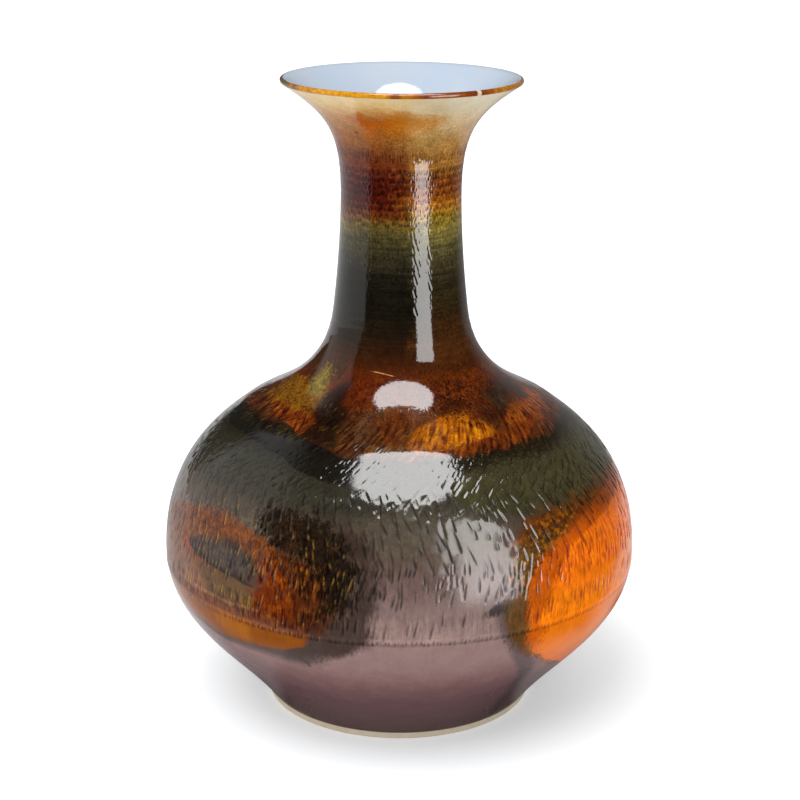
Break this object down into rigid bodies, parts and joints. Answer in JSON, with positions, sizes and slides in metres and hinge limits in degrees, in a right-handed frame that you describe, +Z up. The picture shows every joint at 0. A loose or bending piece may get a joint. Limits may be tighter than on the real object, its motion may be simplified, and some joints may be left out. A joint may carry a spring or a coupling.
{
  "type": "vase",
  "caption": "Round-bellied ceramic vase with a narrow neck and trumpet mouth, chattered and glazed in olive, rust and mauve, on a bare turned foot ring.",
  "frame": {"origin": "centre of the foot ring's rest face", "axes": "+Z up the vase's axis to the mouth; -Y faces the picture's camera; +X to its right"},
  "size_m": [0.2266, 0.2266, 0.3],
  "materials": {
    "bare_clay": "bare fired clay, matt",
    "china_body": "fired clay under glaze",
    "slip": "fired joining slip under glaze",
    "outer_glaze": "glossy olive, rust and mauve glaze with chatter marks",
    "lip_glaze": "glossy amber-brown line",
    "inner_glaze": "glossy pale blue-white",
    "base_glaze": "thin glossy glaze"
  },
  "bodies": {
    "root": {"foot_ring": "bare_clay", "lower_body": "china_body", "belly_seam": "slip", "upper_body": "china_body", "neck_seam": "slip", "neck": "china_body", "outer_glaze": "outer_glaze", "lip_band": "lip_glaze", "inner_glaze": "inner_glaze", "base_glaze": "base_glaze"}
  },
  "joints": []
}
